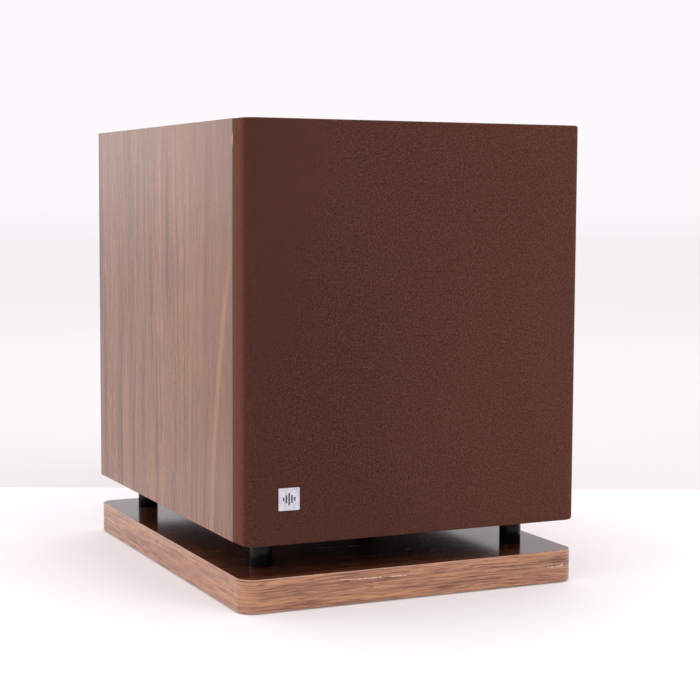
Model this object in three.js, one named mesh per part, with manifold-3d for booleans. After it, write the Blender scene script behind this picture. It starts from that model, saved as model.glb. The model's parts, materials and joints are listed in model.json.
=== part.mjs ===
// A down-firing passive subwoofer: a walnut-vinyl box on four short black posts over a matching plinth,
// with a pull-off cloth grille, a 12-inch woofer in the bottom panel, a crossover and spring terminals.
// Millimetres, +Z up, front towards -Y, origin on the floor under the middle of the object.
import * as THREE from "three";
import { mergeVertices } from "three/addons/utils/BufferGeometryUtils.js";
import Module from "manifold-3d";

const wasm = await Module();
wasm.setup();

// Driving dimensions.
const CABINET_WIDTH = 406;
const CABINET_HEIGHT = 447;
const CABINET_DEPTH = 485;
const BACK_Y = 261; // back edges of the cabinet and of the plinth
const PANEL = 19; // particle board thickness
const FOOT_HEIGHT = 1.5;
const FOOT_RADIUS = 14;
const PLINTH_WIDTH = 410;
const PLINTH_DEPTH = 517;
const PLINTH_HEIGHT = 36;
const PLINTH_CORNER = 19;
const POST_HEIGHT = 35.5;
const POST_RADIUS = 12.5;
const BOLT_RADIUS = 3;
const BOLT_HEAD = { radius: 6.5, height: 4 };
const HEAD_RECESS = { radius: 9, depth: 7 };
const BOLT_GRIP = 14; // how far a post bolt reaches into the bottom panel
const POST_AT = { x: 157, front: -189, rear: 204 };
const FOOT_AT = { x: 180, front: -232, rear: 236 };
const GRILLE_GAP = 0.5; // shadow line between the grille and the cabinet
const GRILLE_FRAME_DEPTH = 34;
const GRILLE_CORNER = 15;
const CLOTH = 1;
const FRAME_WINDOW = { x: 163, low: 125, high: 471, bar: 30 }; // two windows with a bar between them
const BADGE = { x: -154, z: 122, size: 24, thickness: 1.5 };
const PEG_AT = { x: 158, low: 102, high: 491 };
const PEG_RADIUS = 4;
const SOCKET_RADIUS = 7;
const TERMINAL_Z = 200;
const LEVER_X = [-30, -10, 10, 30];
const LEVER_PIVOT = [-3.5, 9]; // y and z from the middle of the terminal plate's face
const SCREW = { circle: 147, radius: 2, grip: 14 }; // the woofer's screws
const WOOFER = {
  rim: 152, // outside of the frame and the gasket
  hole: 139.5, // the bowl where it passes the bottom panel
  lip: 118, // outside of the cone
  neck: 26.6, // the cone's hole round the voice coil
  coneDepth: 44.5,
  rollMiddle: 128,
  rollRadius: 10,
  shelf: 52.3, // the frame's shelf for the spider
  motor: 78, // the frame's back, where the magnet assembly starts
  pole: 24.5,
};
const FIT_GAP = 0.3; // left between pieces that touch

// Places worked out from them.
const HALF = CABINET_WIDTH / 2;
const INSIDE = HALF - PANEL;
const FRONT_Y = BACK_Y - CABINET_DEPTH;
const PLINTH_TOP = FOOT_HEIGHT + PLINTH_HEIGHT;
const CABINET_BOTTOM = PLINTH_TOP + POST_HEIGHT;
const CABINET_TOP = CABINET_BOTTOM + CABINET_HEIGHT;
const INSIDE_BOTTOM = CABINET_BOTTOM + PANEL;
const INSIDE_TOP = CABINET_TOP - PANEL;
const BAFFLE_Y = FRONT_Y + 2; // outer face of the front baffle
const BACK_PANEL_Y = BACK_Y - 6; // outer face of the recessed back panel
const BACK_INNER_Y = BACK_PANEL_Y - PANEL;
const FRAME_BACK_Y = FRONT_Y - GRILLE_GAP;
const FRAME_FRONT_Y = FRAME_BACK_Y - GRILLE_FRAME_DEPTH;
const CLOTH_FRONT_Y = FRAME_FRONT_Y - CLOTH;

const finish = (color, roughness, metalness = 0) =>
  new THREE.MeshStandardMaterial({ color, roughness, metalness });
const WALNUT = finish(0x9c7768, 0.45);
const BLACK_BOARD = finish(0x191716, 0.8);
const RAW_BOARD = finish(0xb08c62, 0.9);
const CLOTH_BROWN = finish(0x5a362d, 0.95);
const BLACK_PLASTIC = finish(0x111111, 0.35);
const RED_PLASTIC = finish(0x9a1d17, 0.4);
const SILVER = finish(0xc9c9cf, 0.35, 0.9);
const ZINC_STEEL = finish(0x9fa1a3, 0.35, 0.9);
const BLACK_STEEL = finish(0x1c1c1d, 0.45, 0.6);
const RUBBER = finish(0x151515, 0.7);
const PAPER = finish(0x2a2927, 0.85);
const SPIDER_CLOTH = finish(0xb58a45, 0.9);
const FERRITE = finish(0x34343a, 0.6);
const COPPER = finish(0xb4643a, 0.35, 0.8);
const FELT = finish(0x2b2623, 1);
const WOOL = finish(0xe4dfcf, 1);

// Joining and cutting.
function solidOf(geometry) {
  const bare = new THREE.BufferGeometry();
  const flat = geometry.index ? geometry.toNonIndexed() : geometry;
  bare.setAttribute("position", flat.getAttribute("position"));
  const merged = mergeVertices(bare, 1e-4);
  const vertProperties = merged.attributes.position.array;
  const triVerts = new Uint32Array(merged.index.array);
  return new wasm.Manifold(new wasm.Mesh({ numProp: 3, vertProperties, triVerts }));
}

function geometryOf(solid) {
  const mesh = solid.getMesh();
  const geometry = new THREE.BufferGeometry();
  geometry.setAttribute("position", new THREE.BufferAttribute(mesh.vertProperties, 3));
  geometry.setIndex(new THREE.BufferAttribute(mesh.triVerts, 1));
  geometry.computeVertexNormals();
  return geometry;
}

const cut = (base, ...tools) =>
  geometryOf(tools.reduce((left, tool) => left.subtract(solidOf(tool)), solidOf(base)));
const join = (base, ...others) =>
  geometryOf(others.reduce((whole, other) => whole.add(solidOf(other)), solidOf(base)));

// Basic forms. An axis is "x", "y" or "z"; a profile's two numbers are the other two axes in the
// order (y, z), (x, z) and (x, y).
const BASIS = {
  x: new THREE.Matrix4().makeBasis(
    new THREE.Vector3(0, 1, 0), new THREE.Vector3(0, 0, 1), new THREE.Vector3(1, 0, 0)),
  y: new THREE.Matrix4().makeBasis(
    new THREE.Vector3(1, 0, 0), new THREE.Vector3(0, 0, 1), new THREE.Vector3(0, -1, 0)),
  z: new THREE.Matrix4(),
};

function block([x0, x1], [y0, y1], [z0, z1]) {
  const box = new THREE.BoxGeometry(x1 - x0, y1 - y0, z1 - z0);
  return box.translate((x0 + x1) / 2, (y0 + y1) / 2, (z0 + z1) / 2);
}

function prism(outline, axis, [from, to], curveSegments = 8) {
  const shape = Array.isArray(outline)
    ? new THREE.Shape(outline.map(([a, b]) => new THREE.Vector2(a, b)))
    : outline;
  const made = new THREE.ExtrudeGeometry(shape, { depth: to - from, bevelEnabled: false, curveSegments });
  made.applyMatrix4(BASIS[axis]);
  const start = axis === "y" ? to : from;
  return made.translate(axis === "x" ? start : 0, axis === "y" ? start : 0, axis === "z" ? start : 0);
}

// A round bar or hole along an axis; a and b place it on the other two axes.
function rod(axis, radius, [from, to], [a, b] = [0, 0], sides = 24) {
  const circle = new THREE.Shape();
  circle.absarc(a, b, radius, 0, 2 * Math.PI);
  return prism(circle, axis, [from, to], sides);
}

// A profile of [radius, height] points turned about Z; it closes on itself unless it is on the axis.
function turned(profile, sides = 36) {
  const area = profile.reduce((sum, [r, z], i) => {
    const [nextR, nextZ] = profile[(i + 1) % profile.length];
    return sum + r * nextZ - nextR * z;
  }, 0);
  const points = area > 0 ? [...profile] : [...profile].reverse();
  if (points[0][0] > 0 || points.at(-1)[0] > 0) points.push(points[0]);
  const lathe = new THREE.LatheGeometry(points.map(([r, z]) => new THREE.Vector2(r, z)), sides);
  return lathe.rotateX(Math.PI / 2);
}

// A tube of 8 sides that follows a smooth curve through the points.
function tube(points, radius, steps) {
  const curve = new THREE.CatmullRomCurve3(points.map((p) => new THREE.Vector3(...p)));
  const section = new THREE.Shape();
  section.absarc(0, 0, radius, 0, 2 * Math.PI);
  return new THREE.ExtrudeGeometry(section, { steps, extrudePath: curve, curveSegments: 4 });
}

const subwoofer = new THREE.Group();

function part(parent, name, geometry, material, [x, y, z] = [0, 0, 0], turn = 0) {
  const mesh = new THREE.Mesh(geometry, material);
  mesh.name = name;
  mesh.position.set(x, y, z);
  mesh.rotation.z = turn;
  parent.add(mesh);
  return mesh;
}

// The four corners of a rectangle seen from above, with the words that name them.
const corners = ({ x, front, rear }) => [
  ["front_left", -x, front],
  ["front_right", x, front],
  ["rear_left", -x, rear],
  ["rear_right", x, rear],
];

addCabinet(subwoofer);
addPlinth(subwoofer);
addGrille(subwoofer);
addWoofer(subwoofer);
addCrossover(subwoofer);
addTerminals(subwoofer);

// The box: four mitred panels of one folded wrap, with the baffle and the back let in between them.
function addCabinet(parent) {
  const depth = [FRONT_Y, BACK_Y];
  const side = (sign) => [
    [sign * HALF, CABINET_BOTTOM],
    [sign * INSIDE, INSIDE_BOTTOM],
    [sign * INSIDE, INSIDE_TOP],
    [sign * HALF, CABINET_TOP],
  ];
  const across = (outer, inner) => [[-HALF, outer], [HALF, outer], [INSIDE, inner], [-INSIDE, inner]];
  part(parent, "left_side_panel", prism(side(-1), "y", depth), WALNUT);
  part(parent, "right_side_panel", prism(side(1), "y", depth), WALNUT);
  part(parent, "top_panel", prism(across(CABINET_TOP, INSIDE_TOP), "y", depth), WALNUT);

  const under = CABINET_BOTTOM - 1;
  const wooferHole = rod("z", WOOFER.hole + 2, [under, INSIDE_BOTTOM + 1], [0, 0], 32);
  const boltHoles = corners(POST_AT).map(([, x, y]) =>
    rod("z", BOLT_RADIUS + FIT_GAP, [under, CABINET_BOTTOM + BOLT_GRIP + 1], [x, y], 6));
  const screwHoles = wooferScrewPlaces().map(([x, y]) =>
    rod("z", SCREW.radius + FIT_GAP, [under, CABINET_BOTTOM + SCREW.grip + 2], [x, y], 6));
  const bottom = prism(across(CABINET_BOTTOM, INSIDE_BOTTOM), "y", depth);
  part(parent, "bottom_panel", cut(bottom, wooferHole, ...boltHoles, ...screwHoles), BLACK_BOARD);

  const [insideX, insideZ] = [[-INSIDE, INSIDE], [INSIDE_BOTTOM, INSIDE_TOP]];
  const baffleY = [BAFFLE_Y, BAFFLE_Y + PANEL];
  const socketHoles = pegPlaces().map(([, x, z]) =>
    rod("y", SOCKET_RADIUS + FIT_GAP, [baffleY[0] - 1, baffleY[1] + 1], [x, z], 8));
  part(parent, "front_baffle", cut(block(insideX, baffleY, insideZ), ...socketHoles), BLACK_BOARD);

  const back = block(insideX, [BACK_INNER_Y, BACK_PANEL_Y], insideZ);
  const terminalHole = block([-43, 43], [BACK_INNER_Y - 1, BACK_Y], [TERMINAL_Z - 29, TERMINAL_Z + 17]);
  part(parent, "back_panel", cut(back, terminalHole), BLACK_BOARD);

  const [braceMiddle, braceHeight] = [319, 38];
  const braceZ = [braceMiddle - braceHeight / 2, braceMiddle + braceHeight / 2];
  part(parent, "cross_brace", block([-INSIDE, INSIDE], [-PANEL / 2, PANEL / 2], braceZ), RAW_BOARD);

  const [woolHalf, woolThick, woolGap] = [170, 25, 1];
  const woolTop = INSIDE_TOP - woolGap;
  const woolFront = baffleY[1] + woolGap;
  part(parent, "wadding_top",
    block([-woolHalf, woolHalf], [-woolHalf, 190], [woolTop - woolThick, woolTop]), WOOL);
  part(parent, "wadding_front",
    block([-woolHalf, woolHalf], [woolFront, woolFront + woolThick], [150, 440]), WOOL);
}

// The plinth on four felt pads, and the posts that the cabinet stands on, each with its bolt.
function addPlinth(parent) {
  const [x, front, r] = [PLINTH_WIDTH / 2, BACK_Y - PLINTH_DEPTH, PLINTH_CORNER];
  const outline = new THREE.Shape();
  outline.absarc(x - r, front + r, r, -Math.PI / 2, 0);
  outline.absarc(x - r, BACK_Y - r, r, 0, Math.PI / 2);
  outline.absarc(-x + r, BACK_Y - r, r, Math.PI / 2, Math.PI);
  outline.absarc(-x + r, front + r, r, Math.PI, 1.5 * Math.PI);

  const boreRadius = BOLT_RADIUS + 0.5;
  const recessTop = FOOT_HEIGHT + HEAD_RECESS.depth;
  const holes = corners(POST_AT).flatMap(([, a, b]) => [
    rod("z", boreRadius, [0, PLINTH_TOP + 1], [a, b], 6),
    rod("z", HEAD_RECESS.radius, [0, recessTop], [a, b], 8),
  ]);
  part(parent, "plinth", cut(prism(outline, "z", [FOOT_HEIGHT, PLINTH_TOP], 8), ...holes), WALNUT);

  const post = cut(rod("z", POST_RADIUS, [0, POST_HEIGHT], [0, 0], 16),
    rod("z", boreRadius, [-1, POST_HEIGHT + 1], [0, 0], 6));
  const headTop = recessTop - FIT_GAP;
  const head = rod("z", BOLT_HEAD.radius, [headTop - BOLT_HEAD.height, headTop], [0, 0], 3);
  const shank = rod("z", BOLT_RADIUS, [headTop - 1, CABINET_BOTTOM + BOLT_GRIP], [0, 0], 6);
  const bolt = join(head, shank);
  for (const [place, a, b] of corners(POST_AT)) {
    part(parent, `post_${place}`, post, BLACK_PLASTIC, [a, b, PLINTH_TOP]);
    part(parent, `post_bolt_${place}`, bolt, ZINC_STEEL, [a, b, 0]);
  }
  const pad = rod("z", FOOT_RADIUS, [0, FOOT_HEIGHT], [0, 0], 10);
  for (const [place, a, b] of corners(FOOT_AT)) part(parent, `foot_pad_${place}`, pad, FELT, [a, b, 0]);
}

function pegPlaces() {
  return [
    ["lower_left", -PEG_AT.x, PEG_AT.low],
    ["lower_right", PEG_AT.x, PEG_AT.low],
    ["upper_left", -PEG_AT.x, PEG_AT.high],
    ["upper_right", PEG_AT.x, PEG_AT.high],
  ];
}

// The grille: a frame with round front edges under stretched cloth, on four pegs in rubber sockets.
function addGrille(parent) {
  const x = HALF - CLOTH;
  const frameZ = [CABINET_BOTTOM + CLOTH / 2, CABINET_TOP - CLOTH / 2];
  const r = GRILLE_CORNER - CLOTH;
  const plan = new THREE.Shape();
  plan.absarc(x - r, FRAME_FRONT_Y + r, r, -Math.PI / 2, 0);
  plan.lineTo(x, FRAME_BACK_Y);
  plan.lineTo(-x, FRAME_BACK_Y);
  plan.absarc(-x + r, FRAME_FRONT_Y + r, r, Math.PI, 1.5 * Math.PI);

  const { x: windowX, low, high, bar } = FRAME_WINDOW;
  const middle = (low + high) / 2;
  const through = [FRAME_FRONT_Y - 1, FRAME_BACK_Y + 1];
  const [pegBuried, pegOut] = [11.5, 14]; // lengths of a peg inside the frame and behind it
  const pegHoles = pegPlaces().map(([, a, z]) =>
    rod("y", PEG_RADIUS + FIT_GAP, [FRAME_BACK_Y - pegBuried - 0.5, through[1]], [a, z], 6));
  const frame = cut(prism(plan, "z", frameZ, 8),
    block([-windowX, windowX], through, [low, middle - bar / 2]),
    block([-windowX, windowX], through, [middle + bar / 2, high]),
    ...pegHoles);
  part(parent, "grille_frame", frame, BLACK_BOARD);

  const clothX = HALF - GRILLE_CORNER;
  part(parent, "grille_cloth", block([-clothX, clothX], [CLOTH_FRONT_Y, FRAME_FRONT_Y], frameZ), CLOTH_BROWN);

  const half = BADGE.size / 2;
  const badge = block([-half, half], [-BADGE.thickness, 0], [-half, half]);
  part(parent, "badge_plate", badge, SILVER, [BADGE.x, CLOTH_FRONT_Y, BADGE.z]);

  const collar = rod("y", PEG_RADIUS + 1.2, [0.2, 1.2], [0, 0], 6);
  const peg = join(rod("y", PEG_RADIUS, [-pegBuried, pegOut], [0, 0], 6), collar);
  const flange = rod("y", SOCKET_RADIUS + 2, [-0.5, 1], [0, 0], 8);
  const socket = cut(
    join(rod("y", SOCKET_RADIUS, [0, 17], [0, 0], 8), flange),
    rod("y", PEG_RADIUS + FIT_GAP, [-1, pegOut + 1], [0, 0], 6),
    rod("y", PEG_RADIUS + 1.8, [-1, 0.7], [0, 0], 6));
  const socketY = BAFFLE_Y - 1 - FIT_GAP;
  for (const [place, a, z] of pegPlaces()) {
    part(parent, `grille_peg_${place}`, peg, BLACK_PLASTIC, [a, FRAME_BACK_Y, z]);
    part(parent, `grille_socket_${place}`, socket, RUBBER, [a, socketY, z]);
  }
}

function wooferScrewPlaces() {
  return [0, 1, 2, 3].map((i) => {
    const angle = (i + 0.5) * (Math.PI / 2);
    return [SCREW.circle * Math.cos(angle), SCREW.circle * Math.sin(angle)];
  });
}

// The woofer faces down. Heights are above the underside of the bottom panel.
function addWoofer(parent) {
  const woofer = new THREE.Group();
  woofer.position.z = CABINET_BOTTOM;
  parent.add(woofer);
  const { rim, hole, lip, neck, coneDepth, rollMiddle, rollRadius, shelf, motor, pole } = WOOFER;

  // The frame: a flange below the panel, and a bowl with windows that carries the magnet.
  const screwPlaces = wooferScrewPlaces();
  const flangeHoles = screwPlaces.map((place) => rod("z", SCREW.radius + 0.5, [-12, 1], place, 6));
  const flangeTop = -FIT_GAP;
  const bowl = turned([
    [rim, -2], [rim, flangeTop], [hole, flangeTop], [hole - 2, 7], [84, shelf + 1.7], [80, shelf + 5.7],
    [80, motor], [34, motor], [34, motor - 2], [77.8, motor - 2], [77.8, shelf + 2], [70, shelf + 2],
    [70, shelf], [82.6, shelf], [hole - 3.6, 5.5], [hole - 2.2, -2],
  ]);
  const windows = Array.from({ length: 8 }, (_, i) =>
    block([94, 131], [-24, 24], [14, 45]).rotateZ((i * Math.PI) / 4));
  part(woofer, "woofer_basket", cut(bowl, ...windows, ...flangeHoles), BLACK_STEEL);

  const [gasketLow, gasketTop, step] = [-7.6, -2 - FIT_GAP, 1.3];
  const gasket = turned([
    [139, gasketLow], [rim, gasketLow], [rim, gasketTop], [143.6, gasketTop], [143.6, gasketTop - step],
    [139, gasketTop - step],
  ]);
  part(woofer, "woofer_gasket", cut(gasket, ...flangeHoles), RUBBER);

  // The half roll between the cone's lip and the frame, with a flat rim under the gasket's step.
  const [rollLevel, skin, rollSteps] = [-1.7, 1, 6];
  const roll = (radius, start, sweep) => Array.from({ length: rollSteps + 1 }, (_, i) => {
    const angle = Math.PI * (start + (sweep * i) / rollSteps);
    return [rollMiddle + radius * Math.cos(angle), rollLevel + radius * Math.sin(angle)];
  });
  part(woofer, "woofer_surround", turned([
    [lip - 5, rollLevel], [lip - 5, rollLevel + 0.9],
    ...roll(rollRadius - skin, 1, 1),
    [137.6, gasketTop], [143.3, gasketTop], [143.3, gasketTop - skin], [138, gasketTop - skin],
    ...roll(rollRadius, 2, -1).slice(1),
  ]), RUBBER);

  const [coneLow, coneTop] = [-0.5, 0.7];
  part(woofer, "woofer_cone", turned([
    [lip, coneLow], [lip, coneTop], [lip - 5, coneTop], [neck + 0.4, coneTop + coneDepth],
    [neck, coneTop + coneDepth], [neck, coneLow + coneDepth - 0.4], [lip - 5.4, coneLow],
  ]), PAPER);

  const [capRadius, capRise, capMiddle] = [33, 12, 27];
  const dome = (lift) => [0, 0.34, 0.67, 1].map((s) => [capRadius * s, capMiddle + lift + capRise * s * s]);
  part(woofer, "woofer_dust_cap", turned([...dome(0), ...dome(0.9).reverse()], 28), PAPER);

  const former = neck - FIT_GAP;
  part(woofer, "voice_coil", turned([
    [former - 0.8, 40], [former, 40], [former, 70], [former + 1, 70], [former + 1, 90], [former, 90],
    [former, 93], [former - 0.8, 93],
  ], 28), COPPER);

  // A corrugated disc from the coil's former out to the frame's shelf.
  const [spiderLow, spiderSkin, waveHeight, waveCount, waveSpan] = [shelf - 1.9, 0.8, 1.4, 8, 41];
  const waves = (lift) => Array.from({ length: waveCount + 1 }, (_, i) =>
    [neck + 1.4 + (i * waveSpan) / waveCount, spiderLow + lift + (i % 2 ? waveHeight : 0)]);
  part(woofer, "woofer_spider", turned([
    [neck, spiderLow], ...waves(0), [79, shelf - 1.4], [79, shelf - 0.4], ...waves(spiderSkin).reverse(),
    [neck, spiderLow + spiderSkin],
  ], 24), SPIDER_CLOTH);

  // The motor: top plate, magnet and the yoke with its vented pole.
  const ring = (inner, outer, low, high) => turned([[inner, low], [outer, low], [outer, high], [inner, high]]);
  const plateTop = motor + 8;
  const magnetTop = plateTop + 22;
  part(woofer, "magnet_top_plate", ring(28.3, 74, motor + FIT_GAP, plateTop), ZINC_STEEL);
  part(woofer, "magnet_ring", ring(36, 78, plateTop + FIT_GAP, magnetTop), FERRITE);
  part(woofer, "magnet_yoke", turned([
    [6, motor + 0.5], [pole, motor + 0.5], [pole, magnetTop + FIT_GAP], [70, magnetTop + FIT_GAP],
    [70, magnetTop + 8], [6, magnetTop + 8],
  ]), ZINC_STEEL);

  const lug = (x) => block([x - 2.4, x + 2.4], [81, 89], [72, 73]);
  const strip = block([-12, 12], [80.3, 83.3], [60, 74]);
  part(woofer, "woofer_lug_strip", join(strip, lug(-7), lug(7)), RAW_BOARD);

  const headTop = gasketLow - FIT_GAP;
  const screwHead = rod("z", 4.2, [headTop - 2.5, headTop], [0, 0], 8);
  const screw = join(screwHead, rod("z", SCREW.radius, [headTop - 0.6, SCREW.grip], [0, 0], 6));
  screwPlaces.forEach(([x, y], i) =>
    part(woofer, `woofer_screw_${i + 1}`, screw, BLACK_STEEL, [x, y, 0]));
}

// The passive crossover on the inner face of the back panel, and the wires to and from it.
function addCrossover(parent) {
  const [boardLow, boardHigh] = [290, 400];
  const boardFace = BACK_INNER_Y - 3;
  part(parent, "crossover_board", block([-65, 65], [boardFace, BACK_INNER_Y], [boardLow, boardHigh]), RAW_BOARD);

  const canRadius = 12;
  const coil = turned([[12, 0], [28, 0], [28, 20], [12, 20]], 32).rotateX(Math.PI / 2);
  const can = rod("x", canRadius, [-23, 23], [0, 0], 12);
  for (const [place, x] of [["left", -32], ["right", 32]]) {
    part(parent, `inductor_${place}`, coil, COPPER, [x, boardFace - FIT_GAP, boardHigh - 35]);
    part(parent, `capacitor_${place}`, can, BLACK_PLASTIC, [x, boardFace - canRadius - FIT_GAP, boardLow + 22]);
  }

  // Both run down the middle of the box: terminals to board, and board to the woofer's lugs.
  const wireRadius = 2.5;
  const boardEnd = boardFace - 1;
  part(parent, "input_leads", tube([
    [0, 232, TERMINAL_Z], [0, 221, 202], [0, 215, 222], [0, 215, 274], [0, 221, 294], [0, boardEnd, 296],
  ], wireRadius, 12), RUBBER);
  part(parent, "woofer_leads", tube([
    [0, boardEnd, 345], [0, 220, 343], [0, 204, 322], [0, 190, 265], [0, 165, 200], [0, 125, 154],
    [0, 100, 141.5], [0, 83.8, 141.5],
  ], wireRadius, 18), RUBBER);
}

// The spring terminals: a cup let into the back panel, with four hinged levers over the wire holes.
function addTerminals(parent) {
  const terminals = new THREE.Group();
  terminals.position.set(0, BACK_PANEL_Y, TERMINAL_Z);
  parent.add(terminals);

  const [pinRadius, leverHalf, bayHalf] = [1.5, 7, 8];
  const plate = block([-50, 50], [0, 2.5], [-32, 24]);
  const cup = block([-42, 42], [-22, 1], [-28, 16]);
  const bays = LEVER_X.map((x) => block([x - bayHalf, x + bayHalf], [-20, 3], [-12, 14]));
  const wireHoles = LEVER_X.map((x) => rod("y", 1.8, [-12, 3], [x, -20], 6));
  const pivotHole = rod("x", pinRadius + 0.4, [-41.2, 41.2], LEVER_PIVOT, 8);
  part(terminals, "terminal_plate", cut(join(plate, cup), ...bays, ...wireHoles, pivotHole), BLACK_PLASTIC);

  const profile = [[-7.5, 12], [-1, 12.5], [2.5, 8], [5.5, -9], [0.5, -10.5], [-8, 2]];
  const pin = rod("x", pinRadius, [-leverHalf - 2.5, leverHalf + 2.5], LEVER_PIVOT, 8);
  const lever = join(prism(profile, "x", [-leverHalf, leverHalf]), pin);
  const names = ["left_positive", "left_negative", "right_positive", "right_negative"];
  LEVER_X.forEach((x, i) => {
    const material = names[i].endsWith("positive") ? RED_PLASTIC : BLACK_PLASTIC;
    part(terminals, `terminal_lever_${names[i]}`, lever, material, [x, 0, 0]);
  });
}

export default subwoofer;
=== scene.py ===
"""The looks of a walnut-grain subwoofer with a brown cloth grille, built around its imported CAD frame.

Everything is in metres in the CAD frame: +Z up, the grille towards -Y, the origin on the floor.
"""
import json
import math
import random

import bmesh
import bpy
from mathutils import Euler, Matrix, Vector


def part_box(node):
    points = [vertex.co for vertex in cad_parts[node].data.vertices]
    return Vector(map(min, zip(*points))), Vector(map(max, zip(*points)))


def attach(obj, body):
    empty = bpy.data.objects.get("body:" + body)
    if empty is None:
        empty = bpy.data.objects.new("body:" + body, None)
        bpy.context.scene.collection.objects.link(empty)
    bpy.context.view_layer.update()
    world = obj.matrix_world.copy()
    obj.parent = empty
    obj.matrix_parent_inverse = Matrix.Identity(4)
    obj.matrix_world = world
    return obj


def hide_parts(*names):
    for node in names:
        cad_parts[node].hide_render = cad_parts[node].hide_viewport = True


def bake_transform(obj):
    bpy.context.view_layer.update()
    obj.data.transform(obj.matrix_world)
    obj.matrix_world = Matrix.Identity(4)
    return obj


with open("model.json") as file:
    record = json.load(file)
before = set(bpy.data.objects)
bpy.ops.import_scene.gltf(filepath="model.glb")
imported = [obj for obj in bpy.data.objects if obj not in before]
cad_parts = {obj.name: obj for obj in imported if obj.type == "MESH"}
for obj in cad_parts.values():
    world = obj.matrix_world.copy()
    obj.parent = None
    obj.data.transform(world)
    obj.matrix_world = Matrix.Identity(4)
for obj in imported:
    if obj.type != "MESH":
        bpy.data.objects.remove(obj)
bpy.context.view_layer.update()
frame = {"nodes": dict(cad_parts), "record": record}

MM = 0.001
CORNERS = ("front_left", "front_right", "rear_left", "rear_right")
random.seed(7)

CABINET_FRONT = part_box("left_side_panel")[0].y
CABINET_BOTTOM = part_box("left_side_panel")[0].z
PLINTH_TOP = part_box("plinth")[1].z
PLINTH_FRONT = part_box("plinth")[0].y

# The camera that fits the photograph's edges. Its focal length and sensor are in millimetres.
CAMERA_PLACE = Vector((-0.8362, -1.8740, 0.4374))
CAMERA_PITCH, CAMERA_YAW, CAMERA_ROLL = (math.radians(angle) for angle in (84.86, -24.99, 0.28))
FOCAL_LENGTH, SENSOR_WIDTH = 86.6, 36
AWAY_FROM_CAMERA = (0.42, 0.91, 0)
BACK_LEFT = (-0.42, 0.91, 0)

# Dark, middle, pale and yellowish browns of the vinyl, as 8-bit sRGB.
WALNUT_TONES = ((88, 51, 34), (123, 76, 50), (156, 104, 72), (145, 102, 60))
PLINTH_TOP_TONES = ((44, 20, 13), (76, 38, 26), (106, 58, 41), (101, 58, 37))
PLINTH_TONES = ((108, 66, 46), (156, 104, 77), (180, 124, 92), (200, 144, 96))

CHIP_PLACE = (-0.2025, -0.2242, 0.4985)   # at the top of the left panel's front edge
# White marks on the plinth's front edge: two ends as (x, z), and half the width.
PLINTH_SCRATCHES = (
    ((-0.092, 0.0290), (-0.072, 0.0281), 0.00035),
    ((-0.071, 0.0280), (-0.043, 0.0276), 0.00055),
    ((-0.033, 0.0273), (-0.012, 0.0270), 0.00055),
    ((0.168, 0.0194), (0.185, 0.0198), 0.00045),
    ((0.184, 0.0198), (0.189, 0.0212), 0.00080),
)


# ---------------------------------------------------------------- camera, floor and light

def make_camera():
    """The photograph's view: from the front left, a little lower than the cabinet's top."""
    data = bpy.data.cameras.new("camera")
    data.sensor_width = SENSOR_WIDTH
    data.lens = FOCAL_LENGTH
    data.clip_start, data.clip_end = 0.05, 100
    camera = bpy.data.objects.new("camera", data)
    turn = Euler((CAMERA_PITCH, 0, CAMERA_YAW)).to_matrix() @ Matrix.Rotation(CAMERA_ROLL, 3, "Z")
    camera.matrix_world = Matrix.LocRotScale(CAMERA_PLACE, turn, None)
    bpy.context.collection.objects.link(camera)
    bpy.context.scene.camera = camera


def make_area_light(name, place, target, size, power):
    data = bpy.data.lights.new(name, "AREA")
    data.shape = "SQUARE"
    data.size = size
    data.energy = power
    light = bpy.data.objects.new(name, data)
    place = Vector(place)
    aim = (Vector(target) - place).to_track_quat("-Z", "Y")
    light.matrix_world = Matrix.LocRotScale(place, aim, None)
    bpy.context.collection.objects.link(light)


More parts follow.
